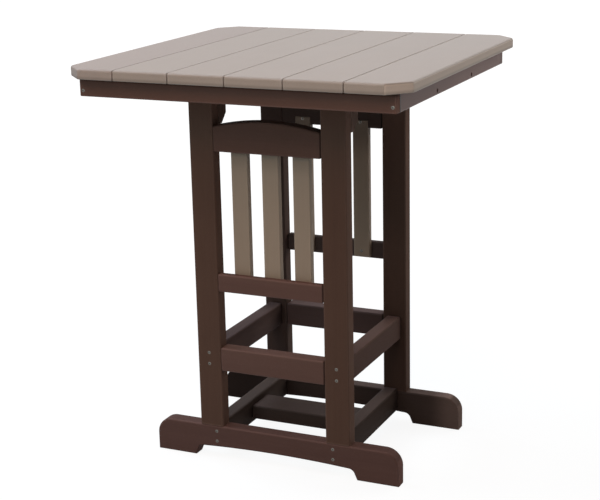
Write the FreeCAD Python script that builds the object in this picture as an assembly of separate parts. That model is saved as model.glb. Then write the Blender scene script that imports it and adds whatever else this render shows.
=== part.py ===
import FreeCAD, Part
import math
import os

# Square tall table of solid plastic lumber: a six-board top on a slatted two-panel base.
# Millimetres. X runs left to right, Y runs front to back, Z is up from the floor.
# The origin is on the floor, under the middle of the top.

# Table top: boards side by side, each running front to back.
# Its rim is routed all round once the boards are laid, so the seams keep their small rounding.
top_height = 1020.0
board_count = 6
board_width = 141.0
board_gap = 2.5
board_length = 840.0
board_thickness = 25.0
board_round = 2.0
rim_round = 6.0
corner_cut = 48.0
corner_round = 8.0

# Apron frame and cross battens under the top
top_overhang = 32.0
apron_thickness = 19.0
apron_height = 45.0
apron_round = 3.0
batten_thickness = 38.0
batten_height = 44.0
batten_round = 3.0

# Legs, feet, arched rails and footrest rails are cut from one thickness of lumber
lumber_thickness = 38.0
lumber_round = 5.0
frame_depth = 433.0
leg_spacing = 347.0
leg_width = 64.0

# Blocks that join each leg to its batten
block_depth = 38.0
block_drop = 134.0
block_bevel = 23.5

# Rails and slats of the front and back panels.
# The lower rail stands at a share of the height between the footrest rail and the arched rail.
# Slats lie on the back of the thin lower rail and are let into the thick arched rail.
rail_thickness = 19.0
rail_round = 4.0
arch_drop = 195.0
arch_end_height = 62.0
arch_rise = 17.0
lower_rail_share = 0.2936
lower_rail_height = 45.7
slat_count = 3
slat_width = 44.0
slat_thickness = 19.0
slat_round = 3.0
slat_heel = 6.0
slat_lap = 21.0

# Footrest rails on all four sides
footrest_bottom = 238.0
footrest_height = 62.0

# Feet: beams with rounded ends that stand on two pads each.
# The photographed back foot reaches further out, most of all at its right-hand end.
foot_reach = 332.5
back_foot_left_extra = 6.0
back_foot_right_extra = 21.0
foot_height = 88.0
foot_end_radius = 42.0
relief_reach = 223.5
relief_end_height = 27.5
relief_crown_height = 34.0
relief_corner_radius = 16.5
relief_lean_angle = 67.0

# Low stretchers between the feet, and the flat board that ties them.
# The stretchers stand a little outside the inner sides of the legs.
stretcher_thickness = 38.0
stretcher_step = 3.0
stretcher_height = 64.0
stretcher_bottom = 33.0
tie_width = 90.0
tie_thickness = 38.0
tie_bottom = 45.0

# Countersunk square-drive screws
screw_head_diameter = 8.4
screw_head_depth = 3.2
screw_crown = 0.7
screw_shank_diameter = 4.6
screw_tip = 5.0
drive_width = 2.6
drive_depth = 2.0
access_diameter = 10.0

# Screw lengths and places
corner_screw_length = 50.0
corner_screw_rise = 14.0
batten_screw_length = 60.0
batten_screw_rise = 9.5
batten_screw_sink = 5.0
batten_screw_set_out = 5.0
board_screw_length = 63.0
board_screw_inset = 30.0
board_screw_stagger = 11.0
leg_top_screw_length = 98.0
leg_top_screw_spacing = 28.0
leg_top_screw_drop = 24.0
block_screw_length = 58.0
block_screw_rise = 54.0
footrest_screw_length = 75.0
footrest_screw_spacing = 29.0
foot_screw_length = 75.0
foot_screw_height = 59.5
foot_screw_spacing = 27.0
slat_screw_length = 34.0
slat_screw_end = 6.0
leg_foot_screw_length = 83.0
leg_foot_screw_sink = 4.0
leg_foot_screw_shares = (0.5, 0.78)
pocket_screw_length = 66.0
pocket_screw_reach = 35.0
pocket_screw_sink = 6.0
pocket_screw_angle = 25.0
tie_screw_spacing = 46.0

# How far cutting shapes run past the faces that they cut
overrun = 1.0

# Places worked out from the sizes above
top_width = board_count * board_width + (board_count - 1) * board_gap
top_under = top_height - board_thickness
apron_reach_x = top_width / 2 - top_overhang
apron_reach_y = board_length / 2 - top_overhang
apron_bottom = top_under - apron_height
frame_face_y = frame_depth / 2
leg_back_y = frame_face_y - lumber_thickness
leg_centre_x = leg_spacing / 2
leg_inner_x = leg_centre_x - leg_width / 2
leg_outer_x = leg_centre_x + leg_width / 2
leg_centre_y = frame_face_y - lumber_thickness / 2
batten_face_y = leg_back_y - block_depth
batten_centre_y = batten_face_y - batten_thickness / 2
batten_bottom = top_under - batten_height
batten_end_x = apron_reach_x - apron_thickness
block_bottom = top_under - block_drop
footrest_top = footrest_bottom + footrest_height
arch_bottom = top_under - arch_drop
lower_rail_bottom = footrest_top + lower_rail_share * (arch_bottom - footrest_top)
rail_centre_y = frame_face_y - rail_thickness / 2
slat_back_y = frame_face_y - rail_thickness - slat_thickness
slat_face_y = frame_face_y - rail_thickness
slat_bottom = lower_rail_bottom + slat_heel
slat_top = arch_bottom + slat_lap
slat_pitch = (2 * leg_inner_x + slat_width) / (slat_count + 1)
footrest_centre_z = footrest_bottom + footrest_height / 2
stretcher_inner_x = leg_inner_x + stretcher_step
stretcher_outer_x = stretcher_inner_x + stretcher_thickness
foot_screw_x = leg_inner_x + stretcher_thickness / 2

axis_x = FreeCAD.Vector(1, 0, 0)
axis_y = FreeCAD.Vector(0, 1, 0)
axis_z = FreeCAD.Vector(0, 0, 1)
origin = FreeCAD.Vector(0, 0, 0)
crosswise_axes = {
    "x": (axis_y, axis_z, axis_x),
    "y": (axis_z, axis_x, axis_y),
    "z": (axis_x, axis_y, axis_z),
}

side_signs = {"left": -1, "right": 1}
end_signs = {"front": -1, "back": 1}

pieces = {}
bores = {}
screws = {}


def place(x, y, z):
    return FreeCAD.Vector(x, y, z)


def between(first, second):
    # Lowest corner and size of the block that two opposite corners span
    low = place(min(first.x, second.x), min(first.y, second.y), min(first.z, second.z))
    high = place(max(first.x, second.x), max(first.y, second.y), max(first.z, second.z))
    return low, high - low


def eased_section(corner, across, up, width, height, radius):
    # Face of a rectangle with four rounded corners
    slant = radius * (1 - math.cos(math.pi / 4))

    def at(u, v):
        return corner + across * u + up * v

    def arc(first, middle, last):
        return Part.Arc(at(*first), at(*middle), at(*last)).toShape()

    far_u = width - radius
    far_v = height - radius
    edges = [
        Part.makeLine(at(radius, 0), at(far_u, 0)),
        arc((far_u, 0), (width - slant, slant), (width, radius)),
        Part.makeLine(at(width, radius), at(width, far_v)),
        arc((width, far_v), (width - slant, height - slant), (far_u, height)),
        Part.makeLine(at(far_u, height), at(radius, height)),
        arc((radius, height), (slant, height - slant), (0, far_v)),
        Part.makeLine(at(0, far_v), at(0, radius)),
        arc((0, radius), (slant, slant), (radius, 0)),
    ]
    return Part.Face(Part.Wire(edges))


def lumber(first, second, along, radius):
    # Straight board between two opposite corners, with its long edges eased
    low, size = between(first, second)
    across, up, length_axis = crosswise_axes[along]
    face = eased_section(low, across, up, size.dot(across), size.dot(up), radius)
    return face.extrude(length_axis * size.dot(length_axis))


def eased_block(first, second, radius):
    # Board between two opposite corners, with its ends eased as well as its long edges
    low, size = between(first, second)
    block = Part.makeBox(size.x, size.y, size.z, low)
    return block.makeFillet(radius, block.Edges)


def prism(points, reach):
    # Solid of a closed outline of corner points, pushed through by a vector
    face = Part.Face(Part.makePolygon(points + [points[0]]))
    return face.extrude(reach)


def turned_arc(centre, radius, start_angle, end_angle, y):
    # Arc in an upright plane across the table, by its angles from +X
    points = []
    for angle in (start_angle, (start_angle + end_angle) / 2, end_angle):
        turn = math.radians(angle)
        points.append(place(centre[0] + radius * math.cos(turn), y, centre[1] + radius * math.sin(turn)))
    return Part.Arc(points[0], points[1], points[2]).toShape()


def end_point(edge, last):
    return edge.Vertexes[-1].Point if last else edge.Vertexes[0].Point


def add_piece(name, shape):
    pieces[name] = shape
    bores[name] = []


def screw_profile(length):
    # Half outline of a screw: domed head, cone under the head, shank and point
    head = screw_head_diameter / 2
    shank = screw_shank_diameter / 2
    dome_radius = (head ** 2 + screw_crown ** 2) / (2 * screw_crown)
    middle = head / 2
    middle_z = dome_radius - screw_crown - math.sqrt(dome_radius ** 2 - middle ** 2)
    crown_top = place(0, 0, -screw_crown)
    rim = place(head, 0, 0)
    neck = place(shank, 0, screw_head_depth)
    shoulder = place(shank, 0, length - screw_tip)
    point = place(0, 0, length)
    edges = [
        Part.Arc(crown_top, place(middle, 0, middle_z), rim).toShape(),
        Part.makeLine(rim, neck),
        Part.makeLine(neck, shoulder),
        Part.makeLine(shoulder, point),
        Part.makeLine(point, crown_top),
    ]
    return Part.Face(Part.Wire(edges))


def drive_screw(group, start, direction, length, through, sink=0.0):
    # One screw through the named pieces, and the hole that it fills in each
    heading = FreeCAD.Vector(direction)
    heading.normalize()
    body = screw_profile(length).revolve(origin, axis_z, 360)
    recess_low = place(-drive_width / 2, -drive_width / 2, -screw_crown - overrun)
    recess = Part.makeBox(drive_width, drive_width, drive_depth + screw_crown + overrun, recess_low)
    solid = body.cut(recess)
    head_place = start + heading * sink
    turn = FreeCAD.Placement(head_place, FreeCAD.Rotation(axis_z, heading))
    solid.Placement = turn
    hole = body.copy()
    hole.Placement = turn
    screws.setdefault(group, []).append(solid)
    for name in through:
        bores[name].append(hole)
    if sink > 0:
        back = head_place - heading * (sink + foot_height)
        access = Part.makeCylinder(access_diameter / 2, sink + foot_height, back, heading)
        bores[through[0]].append(access)


# Table top

def board_span(index):
    # Left and right edge of one board
    left = -top_width / 2 + index * (board_width + board_gap)
    return left, left + board_width


def make_top_plate():
    # Outer form of the whole top: four cut corners and the routed rim
    half_x = top_width / 2
    half_y = board_length / 2
    outline = [
        place(corner_cut - half_x, -half_y, top_under),
        place(half_x - corner_cut, -half_y, top_under),
        place(half_x, corner_cut - half_y, top_under),
        place(half_x, half_y - corner_cut, top_under),
        place(half_x - corner_cut, half_y, top_under),
        place(corner_cut - half_x, half_y, top_under),
        place(-half_x, half_y - corner_cut, top_under),
        place(-half_x, corner_cut - half_y, top_under),
    ]
    middle_z = top_under + board_thickness / 2
    plate = prism(outline, axis_z * board_thickness)
    upright = [edge for edge in plate.Edges if edge.BoundBox.ZLength > board_round]
    plate = plate.makeFillet(corner_round, upright)
    upper = [edge for edge in plate.Edges if edge.BoundBox.ZMin > middle_z]
    plate = plate.makeFillet(rim_round, upper)
    lower = [edge for edge in plate.Edges if edge.BoundBox.ZMax < middle_z]
    return plate.makeFillet(board_round, lower)


def make_top_board(plate, index):
    left, right = board_span(index)
    if index == 0:
        left -= corner_cut
    if index == board_count - 1:
        right += corner_cut
    half_y = board_length / 2 + overrun
    strip = lumber(place(left, -half_y, top_under), place(right, half_y, top_height), "y", board_round)
    return plate.common(strip)


def make_top():
    plate = make_top_plate()
    for index in range(board_count):
        add_piece("top_board_%d" % (index + 1), make_top_board(plate, index))


# Apron frame and battens

def make_aprons():
    for end, sign in end_signs.items():
        outer = place(-apron_reach_x, sign * apron_reach_y, apron_bottom)
        inner = place(apron_reach_x, sign * (apron_reach_y - apron_thickness), top_under)
        add_piece("apron_" + end, eased_block(outer, inner, apron_round))
    for side, sign in side_signs.items():
        outer = place(sign * apron_reach_x, -apron_reach_y + apron_thickness, apron_bottom)
        inner = place(sign * (apron_reach_x - apron_thickness), apron_reach_y - apron_thickness, top_under)
        add_piece("apron_" + side, lumber(outer, inner, "y", apron_round))


def make_battens():
    for end, sign in end_signs.items():
        outer = place(-batten_end_x, sign * batten_face_y, batten_bottom)
        inner = place(batten_end_x, sign * (batten_face_y - batten_thickness), top_under)
        add_piece("batten_" + end, lumber(outer, inner, "x", batten_round))


# Legs and blocks

def make_legs():
    for end, end_sign in end_signs.items():
        for side, side_sign in side_signs.items():
            outer = place(side_sign * leg_outer_x, end_sign * frame_face_y, foot_height)
            inner = place(side_sign * leg_inner_x, end_sign * leg_back_y, top_under)
            add_piece("leg_%s_%s" % (end, side), lumber(outer, inner, "z", lumber_round))


def make_leg_blocks():
    # Each block fills the space between leg and batten, bevelled at its free lower edge
    for end, end_sign in end_signs.items():
        for side, side_sign in side_signs.items():
            outline = [
                (leg_back_y, top_under),
                (batten_face_y, top_under),
                (batten_face_y, block_bottom + block_bevel),
                (batten_face_y + block_bevel, block_bottom),
                (leg_back_y, block_bottom),
            ]
            start_x = side_sign * leg_centre_x - leg_width / 2
            corners = [place(start_x, end_sign * y, z) for y, z in outline]
            add_piece("leg_block_%s_%s" % (end, side), prism(corners, axis_x * leg_width))


# Front and back panels

def slat_centre_x(index):
    return (index - (slat_count - 1) / 2) * slat_pitch


def slat_notch(index, sign):
    # Place in the arched rail that takes the upper end of one slat
    centre = slat_centre_x(index)
    outer = place(centre - slat_width / 2, sign * slat_face_y, arch_bottom - overrun)
    inner = place(centre + slat_width / 2, sign * (slat_back_y - overrun), slat_top)
    low, size = between(outer, inner)
    return Part.makeBox(size.x, size.y, size.z, low)


def make_arch_rail(end, sign):
    # Straight below, one shallow arc above, notched inside for the slats
    outer_y = sign * frame_face_y
    shoulder = arch_bottom + arch_end_height
    radius = (leg_inner_x ** 2 + arch_rise ** 2) / (2 * arch_rise)
    crown_z = shoulder + arch_rise
    half_angle = math.degrees(math.asin(leg_inner_x / radius))
    arc = turned_arc((0, crown_z - radius), radius, 90 - half_angle, 90 + half_angle, outer_y)
    right_top = end_point(arc, False)
    left_top = end_point(arc, True)
    left_low = place(-leg_inner_x, outer_y, arch_bottom)
    right_low = place(leg_inner_x, outer_y, arch_bottom)
    edges = [
        arc,
        Part.makeLine(left_top, left_low),
        Part.makeLine(left_low, right_low),
        Part.makeLine(right_low, right_top),
    ]
    rail = Part.Face(Part.Wire(edges)).extrude(axis_y * (-sign * lumber_thickness))
    rail = rail.makeFillet(lumber_round, rail.Edges)
    notches = [slat_notch(index, sign) for index in range(slat_count)]
    add_piece("arch_rail_" + end, rail.cut(notches))


def make_lower_rail(end, sign):
    outer = place(-leg_inner_x, sign * frame_face_y, lower_rail_bottom)
    inner = place(leg_inner_x, sign * slat_face_y, lower_rail_bottom + lower_rail_height)
    add_piece("lower_rail_" + end, eased_block(outer, inner, rail_round))


def make_slats(end, sign):
    # Slats stand with even gaps between the legs
    for index in range(slat_count):
        centre = slat_centre_x(index)
        outer = place(centre - slat_width / 2, sign * slat_face_y, slat_bottom)
        inner = place(centre + slat_width / 2, sign * slat_back_y, slat_top)
        add_piece("slat_%s_%d" % (end, index + 1), eased_block(outer, inner, slat_round))


def make_panels():
    for end, sign in end_signs.items():
        make_arch_rail(end, sign)
        make_lower_rail(end, sign)
        make_slats(end, sign)


# Footrest rails

def make_footrest_rails():
    for end, sign in end_signs.items():
        outer = place(-leg_inner_x, sign * frame_face_y, footrest_bottom)
        inner = place(leg_inner_x, sign * leg_back_y, footrest_top)
        add_piece("footrest_rail_" + end, eased_block(outer, inner, lumber_round))
    for side, sign in side_signs.items():
        outer = place(sign * leg_centre_x + lumber_thickness / 2, -leg_back_y, footrest_bottom)
        inner = place(sign * leg_centre_x - lumber_thickness / 2, leg_back_y, footrest_top)
        add_piece("footrest_rail_" + side, eased_block(outer, inner, lumber_round))


# Feet and stretchers

def foot_side_edges(y, reach):
    # Right half of a foot's outline, from the middle of the underside to the middle of the top.
    # The underside is a long shallow arc that turns through a small arc into the leaning pad side.
    lean = math.radians(relief_lean_angle)
    crown = relief_crown_height - relief_end_height
    rough_span = relief_reach - relief_corner_radius
    slope = 2 * math.atan(crown / rough_span)
    arc_drop = relief_corner_radius * (math.cos(slope) - math.cos(lean))
    arc_run = relief_corner_radius * (math.sin(lean) - math.sin(slope))
    side_drop = relief_end_height - arc_drop
    side_run = side_drop / math.tan(lean)
    arc_low = place(relief_reach - side_run, y, side_drop)
    span = relief_reach - side_run - arc_run
    crown_radius = span / math.sin(slope)
    crown_top = relief_end_height + crown_radius * (1 - math.cos(slope))
    slope_angle = math.degrees(slope)
    crown_centre = (0, crown_top - crown_radius)
    corner_centre = (
        arc_low.x - relief_corner_radius * math.sin(lean),
        arc_low.z - relief_corner_radius * math.cos(lean),
    )
    long_arc = turned_arc(crown_centre, crown_radius, 90, 90 - slope_angle, y)
    small_arc = turned_arc(corner_centre, relief_corner_radius, 90 - slope_angle, 90 - relief_lean_angle, y)
    end_centre = (reach - foot_end_radius, foot_height - foot_end_radius)
    end_arc = turned_arc(end_centre, foot_end_radius, 0, 90, y)
    pad_inner = place(relief_reach, y, 0)
    pad_outer = place(reach, y, 0)
    return [
        long_arc,
        small_arc,
        Part.makeLine(end_point(small_arc, True), pad_inner),
        Part.makeLine(pad_inner, pad_outer),
        Part.makeLine(pad_outer, end_point(end_arc, False)),
        end_arc,
        Part.makeLine(end_point(end_arc, True), place(0, y, foot_height)),
    ]


def make_feet():
    for end, sign in end_signs.items():
        outer_y = sign * frame_face_y
        left_reach = foot_reach + (back_foot_left_extra if end == "back" else 0)
        right_reach = foot_reach + (back_foot_right_extra if end == "back" else 0)
        right = foot_side_edges(outer_y, right_reach)
        left = [edge.mirror(origin, axis_x) for edge in foot_side_edges(outer_y, left_reach)]
        outline = Part.Wire(Part.__sortEdges__(right + left))
        foot = Part.Face(outline).extrude(axis_y * (-sign * lumber_thickness))
        face_edges = [edge for edge in foot.Edges if edge.BoundBox.YLength < overrun]
        add_piece("foot_" + end, foot.makeFillet(lumber_round, face_edges))


def make_stretchers():
    stretcher_top = stretcher_bottom + stretcher_height
    for side, sign in side_signs.items():
        outer = place(sign * stretcher_outer_x, -leg_back_y, stretcher_bottom)
        inner = place(sign * stretcher_inner_x, leg_back_y, stretcher_top)
        add_piece("low_stretcher_" + side, eased_block(outer, inner, lumber_round))
    near = place(-stretcher_inner_x, -tie_width / 2, tie_bottom)
    far = place(stretcher_inner_x, tie_width / 2, tie_bottom + tie_thickness)
    add_piece("tie_board", eased_block(near, far, lumber_round))


# Screws

def drive_apron_screws():
    for end, end_sign in end_signs.items():
        for side, side_sign in side_signs.items():
            x = side_sign * (apron_reach_x - apron_thickness / 2)
            start = place(x, end_sign * apron_reach_y, apron_bottom + corner_screw_rise)
            through = ("apron_" + end, "apron_" + side)
            drive_screw("apron_corner_screws", start, axis_y * -end_sign, corner_screw_length, through)
            y = end_sign * (batten_centre_y + batten_screw_set_out)
            start = place(side_sign * apron_reach_x, y, batten_bottom + batten_screw_rise)
            through = ("apron_" + side, "batten_" + end)
            inward = axis_x * -side_sign
            drive_screw("batten_end_screws", start, inward, batten_screw_length, through, batten_screw_sink)


def drive_board_screws():
    # Two screws up through each batten into every board, out of line with each other
    for end, sign in end_signs.items():
        for index in range(board_count):
            left, right = board_span(index)
            first = max(left, -batten_end_x) + board_screw_inset
            second = min(right, batten_end_x) - board_screw_inset
            for x, stagger in ((first, board_screw_stagger), (second, -board_screw_stagger)):
                start = place(x, sign * batten_centre_y + stagger, batten_bottom)
                through = ("batten_" + end, "top_board_%d" % (index + 1))
                drive_screw("top_board_screws", start, axis_z, board_screw_length, through)


def drive_leg_screws():
    for end, end_sign in end_signs.items():
        for side, side_sign in side_signs.items():
            leg = "leg_%s_%s" % (end, side)
            block = "leg_block_%s_%s" % (end, side)
            centre_x = side_sign * leg_centre_x
            inward = axis_y * -end_sign
            for offset in (-leg_top_screw_spacing / 2, leg_top_screw_spacing / 2):
                start = place(centre_x + offset, end_sign * frame_face_y, top_under - leg_top_screw_drop)
                through = (leg, block, "batten_" + end)
                drive_screw("leg_top_screws", start, inward, leg_top_screw_length, through)
                start = place(centre_x + offset, end_sign * batten_face_y, block_bottom + block_screw_rise)
                drive_screw("leg_block_screws", start, -inward, block_screw_length, (block, leg))
            for offset in (-footrest_screw_spacing / 2, footrest_screw_spacing / 2):
                start = place(centre_x, end_sign * frame_face_y, footrest_centre_z + offset)
                through = (leg, "footrest_rail_" + side)
                drive_screw("footrest_side_screws", start, inward, footrest_screw_length, through)
            for share in leg_foot_screw_shares:
                x = side_sign * (leg_inner_x + leg_width * share)
                start = place(x, end_sign * leg_centre_y, relief_crown_height)
                length = leg_foot_screw_length
                drive_screw("leg_foot_screws", start, axis_z, length, ("foot_" + end, leg), leg_foot_screw_sink)


def drive_pocket_screw(group, through, side_sign, low_end):
    # Slants out of the underside of a board, near the low point of its end, into what the end meets
    slant = math.radians(pocket_screw_angle)
    heading = place(side_sign * math.cos(slant), 0, math.sin(slant))
    start = low_end - axis_x * (side_sign * pocket_screw_reach)
    drive_screw(group, start, heading, pocket_screw_length, through, pocket_screw_sink)


def drive_rail_screws():
    # Each end of the arched, lower and footrest rails is held to its leg from below
    for end, end_sign in end_signs.items():
        rails = (
            ("arch_rail", arch_bottom, rail_centre_y),
            ("lower_rail", lower_rail_bottom, rail_centre_y),
            ("footrest_rail", footrest_bottom, leg_centre_y),
        )
        for side, side_sign in side_signs.items():
            for rail, bottom, y in rails:
                through = ("%s_%s" % (rail, end), "leg_%s_%s" % (end, side))
                low_end = place(side_sign * leg_inner_x, end_sign * y, bottom)
                drive_pocket_screw(rail + "_end_screws", through, side_sign, low_end)


def drive_slat_screws():
    for end, sign in end_signs.items():
        for index in range(slat_count):
            slat = "slat_%s_%d" % (end, index + 1)
            ends = (
                ("arch_rail_" + end, slat_top - slat_screw_end),
                ("lower_rail_" + end, lower_rail_bottom + lower_rail_height / 2),
            )
            for rail, z in ends:
                start = place(slat_centre_x(index), sign * slat_back_y, z)
                drive_screw("slat_screws", start, axis_y * sign, slat_screw_length, (slat, rail))


def drive_foot_screws():
    for end, end_sign in end_signs.items():
        for side, side_sign in side_signs.items():
            for offset in (-foot_screw_spacing / 2, foot_screw_spacing / 2):
                x = side_sign * foot_screw_x
                start = place(x, end_sign * frame_face_y, foot_screw_height + offset)
                through = ("foot_" + end, "low_stretcher_" + side)
                drive_screw("foot_screws", start, axis_y * -end_sign, foot_screw_length, through)


def drive_tie_screws():
    for side, side_sign in side_signs.items():
        for y in (-tie_screw_spacing / 2, tie_screw_spacing / 2):
            low_end = place(side_sign * stretcher_inner_x, y, tie_bottom)
            drive_pocket_screw("tie_board_screws", ("tie_board", "low_stretcher_" + side), side_sign, low_end)


def export_all():
    os.makedirs("parts", exist_ok=True)
    for name, shape in pieces.items():
        if bores[name]:
            shape = shape.cut(bores[name])
        solids = shape.Solids
        print(name, len(solids), round(sum(solid.Volume for solid in solids)))
        Part.makeCompound(solids).exportStep("parts/" + name + ".step")
    for name, solids in screws.items():
        print(name, len(solids))
        Part.makeCompound(solids).exportStep("parts/" + name + ".step")


make_top()
make_aprons()
make_battens()
make_legs()
make_leg_blocks()
make_panels()
make_footrest_rails()
make_feet()
make_stretchers()
drive_apron_screws()
drive_board_screws()
drive_leg_screws()
drive_rail_screws()
drive_slat_screws()
drive_foot_screws()
drive_tie_screws()
export_all()
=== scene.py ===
import math
import random

import bmesh
import bpy
from mathutils import Matrix, Vector


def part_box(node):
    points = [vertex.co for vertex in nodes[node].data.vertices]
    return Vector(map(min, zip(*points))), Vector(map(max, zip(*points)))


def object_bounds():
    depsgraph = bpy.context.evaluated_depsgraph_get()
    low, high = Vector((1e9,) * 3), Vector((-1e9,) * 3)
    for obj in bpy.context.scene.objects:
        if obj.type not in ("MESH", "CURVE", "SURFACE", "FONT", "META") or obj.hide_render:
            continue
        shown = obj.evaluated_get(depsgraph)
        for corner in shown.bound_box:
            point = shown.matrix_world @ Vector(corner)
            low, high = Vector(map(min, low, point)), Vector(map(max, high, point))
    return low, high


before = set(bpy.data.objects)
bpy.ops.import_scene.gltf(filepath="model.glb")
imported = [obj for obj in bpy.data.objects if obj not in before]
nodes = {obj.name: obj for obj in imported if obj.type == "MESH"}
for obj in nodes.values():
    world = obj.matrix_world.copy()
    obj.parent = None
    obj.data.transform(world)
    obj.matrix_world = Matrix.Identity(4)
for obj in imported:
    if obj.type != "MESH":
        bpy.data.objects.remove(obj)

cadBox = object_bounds()
scene = bpy.context.scene
random.seed(11)
print("frame loaded:", len(nodes), "nodes")


# small helpers for node trees

def newMaterial(name):
    mat = bpy.data.materials.new(name)
    mat.use_nodes = True
    mat.node_tree.nodes.clear()
    return mat, mat.node_tree


def addNode(tree, kind, label="", **settings):
    node = tree.nodes.new(kind)
    node.label = label
    for key, value in settings.items():
        setattr(node, key, value)
    return node


def socketOf(node, key):
    # i0, i1 and so on count a node's inputs; any other key is a name with underscores for spaces
    if key[0] == "i" and key[1:].isdigit():
        return node.inputs[int(key[1:])]
    return node.inputs[key.replace("_", " ")]


def feed(tree, node, **values):
    # a value is a number, a colour, a vector or the output of another node
    for key, value in values.items():
        socket = socketOf(node, key)
        if isinstance(value, bpy.types.NodeSocket):
            tree.links.new(value, socket)
        else:
            socket.default_value = value
    return node


def feedInOrder(tree, node, values):
    return feed(tree, node, **{"i%d" % index: value for index, value in enumerate(values)})


def mathNode(tree, operation, *values, clamp=False):
    node = addNode(tree, "ShaderNodeMath", operation=operation, use_clamp=clamp)
    return feedInOrder(tree, node, values).outputs[0]


def addShare(tree, value, mask, amount, clamp=False):
    # the value plus the mask times an amount
    return mathNode(tree, "MULTIPLY_ADD", mask, amount, value, clamp=clamp)


def swing(tree, noise):
    # noise lies around a half, this lays it around nought
    return mathNode(tree, "SUBTRACT", noise, 0.5)


def vectorNode(tree, operation, *values):
    node = addNode(tree, "ShaderNodeVectorMath", operation=operation)
    return feedInOrder(tree, node, values).outputs[0]


def vectorMeasure(tree, operation, *values):
    # a dot product or a length, which comes out as one number
    node = addNode(tree, "ShaderNodeVectorMath", operation=operation)
    return feedInOrder(tree, node, values).outputs["Value"]


def rangeNode(tree, value, fromMin, fromMax, toMin, toMax):
    node = addNode(tree, "ShaderNodeMapRange", interpolation_type="SMOOTHSTEP")
    feed(tree, node, Value=value, From_Min=fromMin, From_Max=fromMax, To_Min=toMin, To_Max=toMax)
    return node.outputs["Result"]


def noiseNode(tree, vector, scale, detail, roughness):
    node = addNode(tree, "ShaderNodeTexNoise", noise_dimensions="3D")
    feed(tree, node, Vector=vector, Scale=scale, Detail=detail, Roughness=roughness)
    return node.outputs["Fac"]


def mixColours(tree, share, first, second):
    # inputs 6 and 7 of a Mix node are its two colours, output 2 is the mixed one
    node = addNode(tree, "ShaderNodeMix", data_type="RGBA")
    feed(tree, node, Factor=share, i6=(*first, 1.0), i7=(*second, 1.0))
    return node.outputs[2]


def bumpNode(tree, height, strength, depth):
    node = addNode(tree, "ShaderNodeBump")
    feed(tree, node, Strength=strength, Distance=depth, Height=height)
    return node.outputs[0]


def finishTree(tree, kind, surface):
    feed(tree, addNode(tree, kind), Surface=surface)


def newGroup(name, vectors, floats, outputs):
    group = bpy.data.node_groups.new(name, "ShaderNodeTree")
    for label in vectors:
        group.interface.new_socket(name=label, in_out="INPUT", socket_type="NodeSocketVector")
    for label, value in floats.items():
        socket = group.interface.new_socket(name=label, in_out="INPUT", socket_type="NodeSocketFloat")
        socket.default_value = value
    for label in outputs:
        group.interface.new_socket(name=label, in_out="OUTPUT", socket_type="NodeSocketFloat")
    start = addNode(group, "NodeGroupInput")
    end = addNode(group, "NodeGroupOutput")
    return group, start.outputs, end


def useGroup(tree, group, **values):
    node = addNode(tree, "ShaderNodeGroup", group.name, node_tree=group)
    return feed(tree, node, **values).outputs


# grain of both plastics: noise scales per metre, detail and roughness, and where soft masks begin and end
grain = {
    "broadStreak": (26.0, 4.0, 0.6),
    "fineStreak": (190.0, 3.0, 0.6),
    "cloud": (7.0, 2.0, 0.5),
    "speck": (420.0, 1.0, 0.4),
    "skin": (760.0, 2.0, 0.6),
    "fleck": (0.60, 0.74),  # of the speck noise
    "poreScale": 520.0,
    "pore": (0.12, 0.42),  # of the way out from a pore's middle
    "square": (0.85, 0.97),  # how squarely a face has to stand to its direction
    "seamCore": 0.25,  # share of a seam's reach where it has its full strength
}


# long soft streaks that run along an extruded board, with a finer brushed set over them
def buildStreakGroup():
    group, take, end = newGroup("lumberStreaks", ["Place", "Stretch", "Shift"], {}, ["Broad", "Fine"])
    moved = vectorNode(group, "ADD", take["Place"], take["Shift"])
    along = vectorNode(group, "MULTIPLY", moved, take["Stretch"])
    broad = noiseNode(group, along, *grain["broadStreak"])
    fine = noiseNode(group, along, *grain["fineStreak"])
    feed(group, end, Broad=broad, Fine=fine)
    return group


# uneven colour of the moulded plastic: soft clouds and tiny flecks, and the fine pebble of its skin
def buildMottleGroup():
    group, take, end = newGroup("plasticMottle", ["Place", "Shift"], {}, ["Cloud", "Fleck", "Skin"])
    moved = vectorNode(group, "ADD", take["Place"], take["Shift"])
    cloud = noiseNode(group, moved, *grain["cloud"])
    speck = noiseNode(group, moved, *grain["speck"])
    fleck = rangeNode(group, speck, *grain["fleck"], 0.0, 1.0)
    skin = noiseNode(group, moved, *grain["skin"])
    feed(group, end, Cloud=cloud, Fleck=fleck, Skin=skin)
    return group


# how near a point of a straight board is to one of its routed edges, 1 at the edge
def buildEdgeGroup():
    group, take, end = newGroup(
        "routedEdge", ["Place", "Middle", "Half"], {"Width": 0.006, "Waver": 0.5}, ["Edge"]
    )
    offset = vectorNode(group, "ABSOLUTE", vectorNode(group, "SUBTRACT", take["Place"], take["Middle"]))
    split = addNode(group, "ShaderNodeSeparateXYZ")
    feed(group, split, Vector=vectorNode(group, "SUBTRACT", take["Half"], offset))
    a, b, c = split.outputs["X"], split.outputs["Y"], split.outputs["Z"]
    # on a face one of the three distances is nought, so the second smallest leads to the nearest edge
    low = mathNode(group, "MINIMUM", a, b)
    high = mathNode(group, "MAXIMUM", a, b)
    second = mathNode(group, "MAXIMUM", low, mathNode(group, "MINIMUM", high, c))
    # the waver is noise around a half, so the lighter edge line swings around its own width
    reach = mathNode(group, "MULTIPLY", take["Width"], mathNode(group, "ADD", take["Waver"], 0.5))
    edge = mathNode(group, "SUBTRACT", 1.0, mathNode(group, "DIVIDE", second, reach), clamp=True)
    feed(group, end, Edge=edge)
    return group
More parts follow.
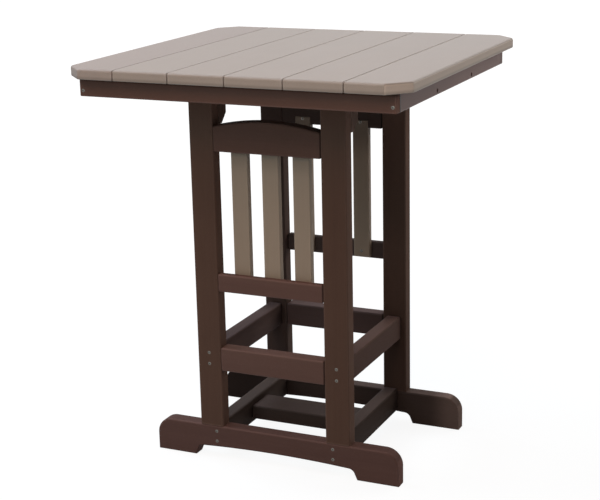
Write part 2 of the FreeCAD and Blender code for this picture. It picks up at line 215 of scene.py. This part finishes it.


# faces that stand square to Axis, such as sawn ends, and the open pores of the plastic's core on them; the
# same mask also picks out whole faces for painted light and shade
def buildCutEndGroup():
    group, take, end = newGroup("cutEnd", ["Place", "Axis", "Normal"], {}, ["End", "Pore"])
    facing = mathNode(group, "ABSOLUTE", vectorMeasure(group, "DOT_PRODUCT", take["Normal"], take["Axis"]))
    endMask = rangeNode(group, facing, *grain["square"], 0.0, 1.0)
    pores = addNode(group, "ShaderNodeTexVoronoi", feature="F1")
    feed(group, pores, Vector=take["Place"], Scale=grain["poreScale"])
    pore = rangeNode(group, pores.outputs["Distance"], *grain["pore"], 1.0, 0.0)
    feed(group, end, End=endMask, Pore=mathNode(group, "MULTIPLY", pore, endMask))
    return group


# darkening that comes in from the low and the high end of a board along Axis and is gone at Reach; it draws
# dark joints and painted shade, and painted light where a strength is below nought
def buildJointAndPaintedShadeGroup():
    group, take, end = newGroup(
        "jointAndPaintedShadeBand", ["Place", "Middle", "Half", "Axis"], {"Reach": 0.002, "Low": 1.0, "High": 1.0}, ["Grime"]
    )
    offset = vectorNode(group, "SUBTRACT", take["Place"], take["Middle"])
    along = vectorMeasure(group, "DOT_PRODUCT", offset, take["Axis"])
    size = vectorMeasure(group, "DOT_PRODUCT", take["Half"], take["Axis"])
    core = mathNode(group, "MULTIPLY", take["Reach"], grain["seamCore"])

    def shadeFrom(distance, strength):
        fade = rangeNode(group, distance, core, take["Reach"], 1.0, 0.0)
        return mathNode(group, "MULTIPLY", fade, strength)

    high = shadeFrom(mathNode(group, "SUBTRACT", size, along), take["High"])
    low = shadeFrom(mathNode(group, "ADD", size, along), take["Low"])
    feed(group, end, Grime=mathNode(group, "ADD", high, low))
    return group


streakGroup = buildStreakGroup()
mottleGroup = buildMottleGroup()
edgeGroup = buildEdgeGroup()
cutEndGroup = buildCutEndGroup()
jointAndPaintedShadeGroup = buildJointAndPaintedShadeGroup()
print("effect groups built")


# the two plastics: colour, colour of the edges, sheen and how strong each effect is; the lighter edges are
# partly wear and partly a painted highlight, and the lift on end faces is painted light
paleLumber = {
    "colour": (0.420, 0.345, 0.275),
    "edgeColourWornAndHighlit": (0.455, 0.385, 0.315),
    "roughness": 0.56,
    "specular": 0.3,
    "streak": 0.055,
    "cloud": 0.03,
    "fleck": 0.05,
    "edgeWidth": 0.005,
    "edgeGainWornAndHighlit": 0.10,
    "paintedEndLight": 0.0,
    "bump": 0.00010,
}
brownLumber = {
    "colour": (0.112, 0.064, 0.0465),
    "edgeColourWornAndHighlit": (0.142, 0.088, 0.067),
    "roughness": 0.52,
    "specular": 0.01,
    "streak": 0.12,
    "cloud": 0.06,
    "fleck": 0.10,
    "edgeWidth": 0.005,
    "edgeGainWornAndHighlit": 0.20,
    "paintedEndLight": 0.75,
    "bump": 0.00012,
}

# what both plastics share
lumberFinish = {
    "stretch": 0.035,  # streaks are some thirty times longer than they are wide
    "shift": 4.0,  # metres by which a board's pattern may be moved each way
    "batch": 0.015,  # how much lighter or darker one board may be
    # share of the lighter edge colour, partly wear and partly a painted highlight
    "edgeMixWornAndHighlit": 0.6,
    "poreShade": -0.10,
    "streakRough": 0.16,
    "edgeRough": -0.08,
    "endRough": 0.12,
    "streakHeight": 0.6,
    "skinHeight": 0.5,
    "poreHeight": -1.2,
    "ior": 1.5,
}

# ways that grain, faces and shade can lie; the last two face out of the clipped corners of the top
ways = {
    "x": (1.0, 0.0, 0.0),
    "y": (0.0, 1.0, 0.0),
    "z": (0.0, 0.0, 1.0),
    "cutRight": (math.sqrt(0.5), -math.sqrt(0.5), 0.0),
    "cutLeft": (math.sqrt(0.5), math.sqrt(0.5), 0.0),
}


def makeLumber(name, piece, box, seams):
    plastic = piece["plastic"]
    mat, tree = newMaterial(name)
    low, high = Vector(box[0]), Vector(box[1])
    middle = (low + high) / 2
    half = (high - low) / 2
    lengthWay = ways[piece["grain"]]
    stretch = [lumberFinish["stretch"] if part else 1.0 for part in lengthWay]
    shift = [random.uniform(-lumberFinish["shift"], lumberFinish["shift"]) for _ in range(3)]

    place = addNode(tree, "ShaderNodeTexCoord").outputs["Object"]
    normal = addNode(tree, "ShaderNodeNewGeometry").outputs["Normal"]
    streaks = useGroup(tree, streakGroup, Place=place, Stretch=stretch, Shift=shift)
    mottle = useGroup(tree, mottleGroup, Place=place, Shift=shift)
    cut = useGroup(tree, cutEndGroup, Place=place, Axis=lengthWay, Normal=normal)
    edge = useGroup(
        tree, edgeGroup, Place=place, Middle=middle, Half=half,
        Width=plastic["edgeWidth"], Waver=streaks["Broad"],
    )["Edge"]

    # brightness around 1 from streaks, clouds, flecks and pores, with edges lighter from wear and a painted
    # highlight, and end faces lighter as painted light
    broad = swing(tree, streaks["Broad"])
    value = addShare(tree, 1.0, broad, plastic["streak"] * 2)
    value = addShare(tree, value, swing(tree, streaks["Fine"]), plastic["streak"])
    value = addShare(tree, value, swing(tree, mottle["Cloud"]), plastic["cloud"] * 2)
    value = addShare(tree, value, mottle["Fleck"], plastic["fleck"])
    value = addShare(tree, value, edge, plastic["edgeGainWornAndHighlit"])
    value = addShare(tree, value, cut["Pore"], lumberFinish["poreShade"])
    # painted light: end faces across the grain are made lighter
    value = addShare(tree, value, cut["End"], plastic["paintedEndLight"])

    # painted light and shade: faces that look each way are made lighter or darker by how light falls on them
    for way, lift in piece.get("sides", {}).items():
        facing = useGroup(tree, cutEndGroup, Place=place, Axis=ways[way], Normal=normal)
        value = addShare(tree, value, facing["End"], lift)

    # darker along joints between top boards, and painted shade and painted light near the ends and along each
    # board
    for seam in seams:
        darkening = useGroup(
            tree, jointAndPaintedShadeGroup, Place=place, Middle=middle, Half=half,
            Axis=ways[seam["way"]], Reach=seam["reach"], Low=seam["low"], High=seam["high"],
        )
        value = mathNode(tree, "MULTIPLY", value, mathNode(tree, "SUBTRACT", 1.0, darkening["Grime"]))

    batch = random.uniform(1.0 - lumberFinish["batch"], 1.0 + lumberFinish["batch"])
    # the colour factor of each family is painted light and shade, lit and shaded copies of the same plastic;
    # the batch is each board's own spread
    base = [channel * paintedLightTint * batch for channel, paintedLightTint in zip(plastic["colour"], piece["paintedLightTint"])]
    edgeColourWornAndHighlit = [channel * paintedLightTint * batch for channel, paintedLightTint in zip(plastic["edgeColourWornAndHighlit"], piece["paintedLightTint"])]
    blend = mixColours(tree, mathNode(tree, "MULTIPLY", edge, lumberFinish["edgeMixWornAndHighlit"]), base, edgeColourWornAndHighlit)
    shade = addNode(tree, "ShaderNodeVectorMath", operation="SCALE")
    feed(tree, shade, i0=blend, Scale=value)

    rough = addShare(tree, plastic["roughness"], broad, lumberFinish["streakRough"])
    rough = addShare(tree, rough, edge, lumberFinish["edgeRough"])
    rough = addShare(tree, rough, cut["End"], lumberFinish["endRough"], clamp=True)

    height = mathNode(tree, "MULTIPLY", streaks["Fine"], lumberFinish["streakHeight"])
    height = addShare(tree, height, mottle["Skin"], lumberFinish["skinHeight"])
    height = addShare(tree, height, cut["Pore"], lumberFinish["poreHeight"])

    shader = addNode(tree, "ShaderNodeBsdfPrincipled")
    feed(
        tree, shader, Base_Color=shade.outputs[0], Roughness=rough,
        Specular_IOR_Level=piece.get("specular", plastic["specular"]), IOR=lumberFinish["ior"],
        Normal=bumpNode(tree, height, 1.0, plastic["bump"]),
    )
    finishTree(tree, "ShaderNodeOutputMaterial", shader.outputs[0])
    return mat


# dark joints between top boards, and painted shade at the joints of rails and side boards, under the top and
# along the lower edge of the top boards: the way across them, strength at the board's low and high end, reach
# in metres
boardSeam = {"way": "x", "low": 0.25, "high": 0.25, "reach": 0.0024}
paintedShadeRailEnds = {"way": "x", "low": 0.35, "high": 0.62, "reach": 0.0045}
paintedShadeSideEnds = {"way": "y", "low": 0.80, "high": 0.60, "reach": 0.0070}
paintedShadowUnderTop = {"way": "z", "low": 0.0, "high": 0.62, "reach": 0.011}
paintedShadeRimBottom = {"way": "z", "low": 0.30, "high": 0.0, "reach": 0.010}

# long soft bands of painted shade and painted light in the same form, where less than nought lightens
paintedFrontShadeBackSheen = {"way": "y", "low": 0.27, "high": -0.08, "reach": 0.480}
paintedBackLegShadeAndLight = {"way": "z", "low": 0.36, "high": -0.32, "reach": 0.400}
paintedLegTopLight = {"way": "z", "low": 0.0, "high": -0.18, "reach": 0.320}
paintedFootEndLight = {"way": "x", "low": 0.0, "high": -1.0, "reach": 0.085}
paintedFootShadow = {"way": "x", "low": 0.60, "high": 0.0, "reach": 0.260}
paintedFarEndShade = {"way": "y", "low": 0.0, "high": 0.35, "reach": 0.110}
paintedBackSlatTopShade = {"way": "z", "low": 0.0, "high": 0.42, "reach": 0.110}
paintedSlatTopShade = {"way": "z", "low": 0.0, "high": 0.30, "reach": 0.080}

# what each family of boards is made of, which way its grain runs, and its painted light and shade: a colour
# factor that makes lit and shaded copies of the same plastic, faces painted lighter or darker, and bands of
# painted shade and light
lumberPieces = {
    "top_board": {
        "plastic": paleLumber, "grain": "y", "paintedLightTint": (0.916, 0.903, 0.960),
        "seams": [paintedShadeRimBottom], "sides": {"x": 0.82, "y": 0.10, "cutRight": 0.85, "cutLeft": -0.20},
    },
    "top_board_1": {
        "plastic": paleLumber, "grain": "y", "paintedLightTint": (0.883, 0.853, 0.921),
        "seams": [paintedShadeRimBottom], "sides": {"x": 0.82, "y": 0.15, "cutRight": 0.85, "cutLeft": -0.20},
    },
    "slat": {
        "plastic": paleLumber, "grain": "z", "paintedLightTint": (0.856, 0.790, 0.740),
        "seams": [paintedSlatTopShade],
    },
    "slat_back": {
        "plastic": paleLumber, "grain": "z", "paintedLightTint": (0.868, 0.770, 0.700),
        "seams": [paintedBackSlatTopShade],
    },
    "apron_front": {
        "plastic": brownLumber, "grain": "x", "paintedLightTint": (1.42, 1.36, 1.48),
        "seams": [paintedShadowUnderTop],
    },
    "apron_back": {
        "plastic": brownLumber, "grain": "x", "paintedLightTint": (1.22, 1.38, 1.75),
        "seams": [paintedShadowUnderTop], "specular": 0.25,
    },
    "apron_left": {
        "plastic": brownLumber, "grain": "y", "paintedLightTint": (1.52, 1.52, 1.86),
        "seams": [paintedShadowUnderTop, paintedShadeSideEnds], "specular": 0.25,
    },
    "apron_right": {
        "plastic": brownLumber, "grain": "y", "paintedLightTint": (1.75, 1.63, 1.88),
        "seams": [paintedShadowUnderTop, paintedShadeSideEnds, paintedFrontShadeBackSheen], "specular": 0.25,
    },
    "batten": {
        "plastic": brownLumber, "grain": "x", "paintedLightTint": (1.00, 1.00, 1.05),
    },
    "leg_block": {
        "plastic": brownLumber, "grain": "z", "paintedLightTint": (1.55, 1.68, 1.80),
    },
    "leg": {
        "plastic": brownLumber, "grain": "z", "paintedLightTint": (1.06, 1.07, 1.10),
        "seams": [paintedLegTopLight], "sides": {"x": 0.50},
    },
    "leg_back_right": {
        "plastic": brownLumber, "grain": "z", "paintedLightTint": (1.06, 1.07, 1.10),
        "seams": [paintedBackLegShadeAndLight], "sides": {"x": 0.50},
    },
    "leg_back_left": {
        "plastic": brownLumber, "grain": "z", "paintedLightTint": (0.82, 0.92, 1.05),
        "sides": {"x": 0.35},
    },
    "arch_rail_front": {
        "plastic": brownLumber, "grain": "x", "paintedLightTint": (1.26, 1.22, 1.33),
        "seams": [paintedShadeRailEnds], "sides": {"z": -0.45},
    },
    "arch_rail_back": {
        "plastic": brownLumber, "grain": "x", "paintedLightTint": (0.80, 0.95, 1.10),
        "seams": [paintedShadeRailEnds], "sides": {"z": -0.3},
    },
    "lower_rail_front": {
        "plastic": brownLumber, "grain": "x", "paintedLightTint": (1.38, 1.36, 1.56),
        "seams": [paintedShadeRailEnds],
    },
    "lower_rail_back": {
        "plastic": brownLumber, "grain": "x", "paintedLightTint": (0.98, 1.18, 1.45),
        "seams": [paintedShadeRailEnds],
    },
    "footrest_rail_front": {
        "plastic": brownLumber, "grain": "x", "paintedLightTint": (1.35, 1.36, 1.56),
        "seams": [paintedShadeRailEnds],
    },
    "footrest_rail_back": {
        "plastic": brownLumber, "grain": "x", "paintedLightTint": (0.98, 1.07, 1.31),
        "seams": [paintedShadeRailEnds], "sides": {"z": 0.60},
    },
    "footrest_rail_left": {
        "plastic": brownLumber, "grain": "y", "paintedLightTint": (1.17, 1.30, 1.58),
        "seams": [paintedShadeSideEnds, paintedFarEndShade], "sides": {"z": -0.02},
    },
    "footrest_rail_right": {
        "plastic": brownLumber, "grain": "y", "paintedLightTint": (1.10, 1.15, 1.30),
        "seams": [paintedShadeSideEnds], "sides": {"z": 0.68},
    },
    "foot_front": {
        "plastic": brownLumber, "grain": "x", "paintedLightTint": (1.15, 1.12, 1.32),
        "sides": {"z": -0.08},
    },
    "foot_back": {
        "plastic": brownLumber, "grain": "x", "paintedLightTint": (0.60, 0.70, 0.82),
        "seams": [paintedFootEndLight, paintedFootShadow], "sides": {"z": 1.05},
    },
    "low_stretcher_left": {
        "plastic": brownLumber, "grain": "y", "paintedLightTint": (0.72, 0.87, 1.00),
        "seams": [paintedShadeSideEnds], "sides": {"z": 0.20},
    },
    "low_stretcher_right": {
        "plastic": brownLumber, "grain": "y", "paintedLightTint": (0.54, 0.64, 0.74),
        "seams": [paintedShadeSideEnds], "sides": {"z": 0.95},
    },
    "tie_board": {
        "plastic": brownLumber, "grain": "x", "paintedLightTint": (0.57, 0.67, 0.78),
        "sides": {"z": 0.60},
    },
}
boxSlack = 0.001  # metres by which a side may miss the outline of the whole top


def familyOf(nodeName):
    # the longest family name that the node's name begins with
    fits = [family for family in lumberPieces if nodeName == family or nodeName.startswith(family + "_")]
    return lumberPieces[max(fits, key=len)]


def seamOfBoard(box):
    # a joint on each side where the board has a neighbour, none at the outside of the top
    meetsLow = box[0][0] > cadBox[0][0] + boxSlack
    meetsHigh = box[1][0] < cadBox[1][0] - boxSlack
    return {**boardSeam, "low": boardSeam["low"] * meetsLow, "high": boardSeam["high"] * meetsHigh}


def dress(obj, mat):
    for slot in obj.material_slots:
        slot.material = mat


for nodeName in sorted(nodes):
    if nodeName.endswith("_screws"):
        continue
    piece = familyOf(nodeName)
    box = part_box(nodeName)
    seams = list(piece.get("seams", []))
    if nodeName.startswith("top_board"):
        seams.append(seamOfBoard(box))
    dress(nodes[nodeName], makeLumber(nodeName + "Lumber", piece, box, seams))
print("lumber dressed")


# stainless screws, dark and dull in colour with darker patches, finely brushed
screwMetal = {
    "colour": (0.160, 0.148, 0.132),
    "dull": (0.080, 0.072, 0.064),
    "dullShare": 0.7,
    "mottleShift": (0.3, 0.7, 0.1),
    "brush": (900.0, 900.0, 3000.0),  # brush marks per metre along x, y and z
    "brushNoise": (1.0, 2.0, 0.55),
    "brushRough": 0.25,
    "brushStrength": 0.6,
    "brushDepth": 0.00003,
    "roughness": 0.30,
    "metallic": 0.9,
}


def makeScrewMetal():
    mat, tree = newMaterial("screwMetal")
    place = addNode(tree, "ShaderNodeTexCoord").outputs["Object"]
    mottle = useGroup(tree, mottleGroup, Place=place, Shift=screwMetal["mottleShift"])
    brushed = vectorNode(tree, "MULTIPLY", place, screwMetal["brush"])
    scratch = noiseNode(tree, brushed, *screwMetal["brushNoise"])
    dulled = mathNode(tree, "MULTIPLY", mottle["Skin"], screwMetal["dullShare"])
    shader = addNode(tree, "ShaderNodeBsdfPrincipled")
    feed(
        tree, shader, Base_Color=mixColours(tree, dulled, screwMetal["colour"], screwMetal["dull"]),
        Metallic=screwMetal["metallic"],
        Roughness=addShare(tree, screwMetal["roughness"], scratch, screwMetal["brushRough"]),
        Normal=bumpNode(tree, scratch, screwMetal["brushStrength"], screwMetal["brushDepth"]),
    )
    finishTree(tree, "ShaderNodeOutputMaterial", shader.outputs[0])
    return mat


metal = makeScrewMetal()
for nodeName in sorted(nodes):
    if nodeName.endswith("_screws"):
        dress(nodes[nodeName], metal)
print("screws dressed")


# floor and world look pale to the camera and in reflections, and throw little light on the table
stageLook = {
    "floorSize": 60.0,
    "floorCells": 8,
    "floorBounce": 0.40,  # grey of the floor for the light that it sends up
    "floorPale": 0.92,  # the floor that the camera sees, with its shadow
    "floorGlow": 0.85,  # share of plain white over that shadow
    "clearFrom": 0.7,  # metres from the middle where the shadow starts to fade out
    "clearTo": 1.8,
    "glow": 1.07,
    "ambient": 0.0,
    "backdrop": 1.0,
}


def grey(level):
    return (level, level, level, 1.0)


def seenRay(tree):
    path = addNode(tree, "ShaderNodeLightPath").outputs
    seen = mathNode(tree, "MAXIMUM", path["Is Camera Ray"], path["Is Glossy Ray"])
    return mathNode(tree, "MAXIMUM", seen, path["Is Transmission Ray"])


def mixShaders(tree, share, first, second):
    node = addNode(tree, "ShaderNodeMixShader")
    return feed(tree, node, i0=share, i1=first.outputs[0], i2=second.outputs[0])


def makeFloor():
    mesh = bpy.data.meshes.new("floor")
    form = bmesh.new()
    cells = stageLook["floorCells"]
    bmesh.ops.create_grid(form, x_segments=cells, y_segments=cells, size=stageLook["floorSize"] / 2)
    form.to_mesh(mesh)
    form.free()
    floor = bpy.data.objects.new("floor", mesh)
    scene.collection.objects.link(floor)
    mat, tree = newMaterial("paleFloor")
    bounce = feed(tree, addNode(tree, "ShaderNodeBsdfDiffuse"), Color=grey(stageLook["floorBounce"]))
    pale = feed(tree, addNode(tree, "ShaderNodeBsdfDiffuse"), Color=grey(stageLook["floorPale"]))
    glow = feed(tree, addNode(tree, "ShaderNodeEmission"), Color=grey(1.0), Strength=stageLook["glow"])
    away = vectorMeasure(tree, "LENGTH", addNode(tree, "ShaderNodeTexCoord").outputs["Object"])
    share = rangeNode(
        tree, away, stageLook["clearFrom"], stageLook["clearTo"], stageLook["floorGlow"], 1.0
    )
    shown = mixShaders(tree, share, pale, glow)
    mixed = mixShaders(tree, seenRay(tree), bounce, shown)
    finishTree(tree, "ShaderNodeOutputMaterial", mixed.outputs[0])
    mesh.materials.append(mat)


def makeWorld():
    world = bpy.data.worlds.new("studio")
    scene.world = world
    world.use_nodes = True
    tree = world.node_tree
    tree.nodes.clear()
    ambient = feed(tree, addNode(tree, "ShaderNodeBackground"), Color=grey(stageLook["ambient"]))
    white = feed(tree, addNode(tree, "ShaderNodeBackground"), Color=grey(stageLook["backdrop"]))
    mixed = mixShaders(tree, seenRay(tree), ambient, white)
    finishTree(tree, "ShaderNodeOutputWorld", mixed.outputs[0])


makeFloor()
makeWorld()
print("floor and world set")


# soft studio lamps: degrees round from the front and up, metres away and across, watts and colour
softboxes = {
    "frontHigh": {
        "around": 0.0, "up": 50.0, "far": 5.5, "size": 3.5,
        "power": 117.1, "colour": (1.0, 0.730, 0.596),
    },
    "leftHigh": {
        "around": -90.0, "up": 50.0, "far": 5.5, "size": 3.5,
        "power": 214.8, "colour": (0.672, 0.838, 1.0),
    },
    "backHigh": {
        "around": 180.0, "up": 50.0, "far": 5.5, "size": 3.5,
        "power": 87.7, "colour": (0.712, 0.859, 1.0),
    },
    "frontLow": {
        "around": 0.0, "up": 18.0, "far": 5.5, "size": 3.0,
        "power": 52.4, "colour": (0.802, 0.989, 1.0),
    },
    "backRight": {
        "around": 140.0, "up": 25.0, "far": 5.5, "size": 3.0,
        "power": 77.9, "colour": (1.0, 0.988, 0.920),
    },
}
lampAim = Vector((0.0, 0.0, 0.6))  # a little above the middle of the table, where all lamps point


def makeSoftbox(name, box):
    lamp = bpy.data.lights.new(name, "AREA")
    lamp.shape = "SQUARE"
    lamp.size = box["size"]
    lamp.energy = box["power"]
    lamp.color = box["colour"]
    obj = bpy.data.objects.new(name, lamp)
    scene.collection.objects.link(obj)
    around, up = math.radians(box["around"]), math.radians(box["up"])
    outward = Vector((math.sin(around) * math.cos(up), -math.cos(around) * math.cos(up), math.sin(up)))
    away = outward * box["far"]
    obj.location = lampAim + away
    obj.rotation_euler = (-away).to_track_quat("-Z", "Y").to_euler()


for name, box in softboxes.items():
    makeSoftbox(name, box)
print("lamps set")


# camera as in the photograph: a long lens, above the top and to the right (metres, degrees, mm)
cameraSet = {
    "place": (1.4860, -3.2721, 1.5077),
    "turn": 24.647,
    "dip": 15.496,
    "roll": -1.261,
    "lens": 87.59,
    "sensor": 36.0,
    "clip": 200.0,
}


def makeCamera():
    data = bpy.data.cameras.new("camera")
    data.sensor_fit = "HORIZONTAL"
    data.sensor_width = cameraSet["sensor"]
    data.lens = cameraSet["lens"]
    data.clip_end = cameraSet["clip"]
    cam = bpy.data.objects.new("camera", data)
    scene.collection.objects.link(cam)
    turn = Matrix.Rotation(math.radians(cameraSet["turn"]), 4, "Z")
    tip = Matrix.Rotation(math.radians(90.0 - cameraSet["dip"]), 4, "X")
    roll = Matrix.Rotation(math.radians(cameraSet["roll"]), 4, "Z")
    cam.matrix_world = Matrix.Translation(cameraSet["place"]) @ turn @ tip @ roll
    scene.camera = cam


makeCamera()
scene.view_settings.view_transform = "Standard"
print("camera set")
